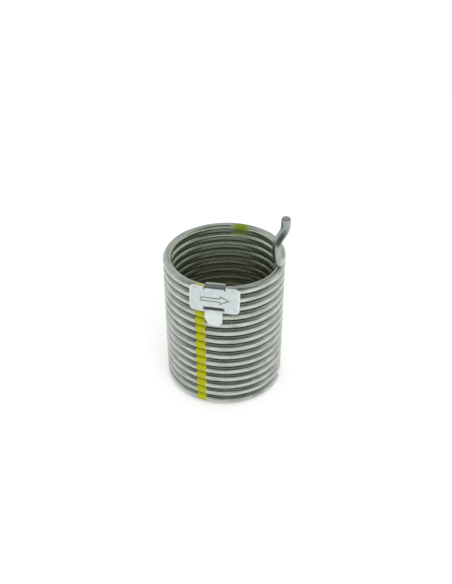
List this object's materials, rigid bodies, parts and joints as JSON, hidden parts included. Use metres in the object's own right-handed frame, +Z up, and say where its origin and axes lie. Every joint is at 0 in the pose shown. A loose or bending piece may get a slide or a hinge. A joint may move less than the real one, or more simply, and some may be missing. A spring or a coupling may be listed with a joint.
{
  "type": "garage door torsion spring",
  "caption": "Left-hand close-wound torsion spring of round steel wire, with a stepped leg at one end and a folded sheet tag strapped round its end turns.",
  "frame": {"origin": "on the coil's axis, in the plane that the spring stands on at its lower end", "axes": "+Z up along the coil's axis towards the end with the leg, -Y towards the front, which carries the tag, and +X to the right of it"},
  "size_m": [0.0784, 0.081, 0.1297],
  "materials": {
    "wire": "drawn steel wire, oiled and dulled, with a yellow paint stripe down one side",
    "tag_sheet": "bright sheet, stamped, dented and slightly stained"
  },
  "bodies": {
    "root": {"spring": "wire", "tag": "tag_sheet"}
  },
  "joints": []
}
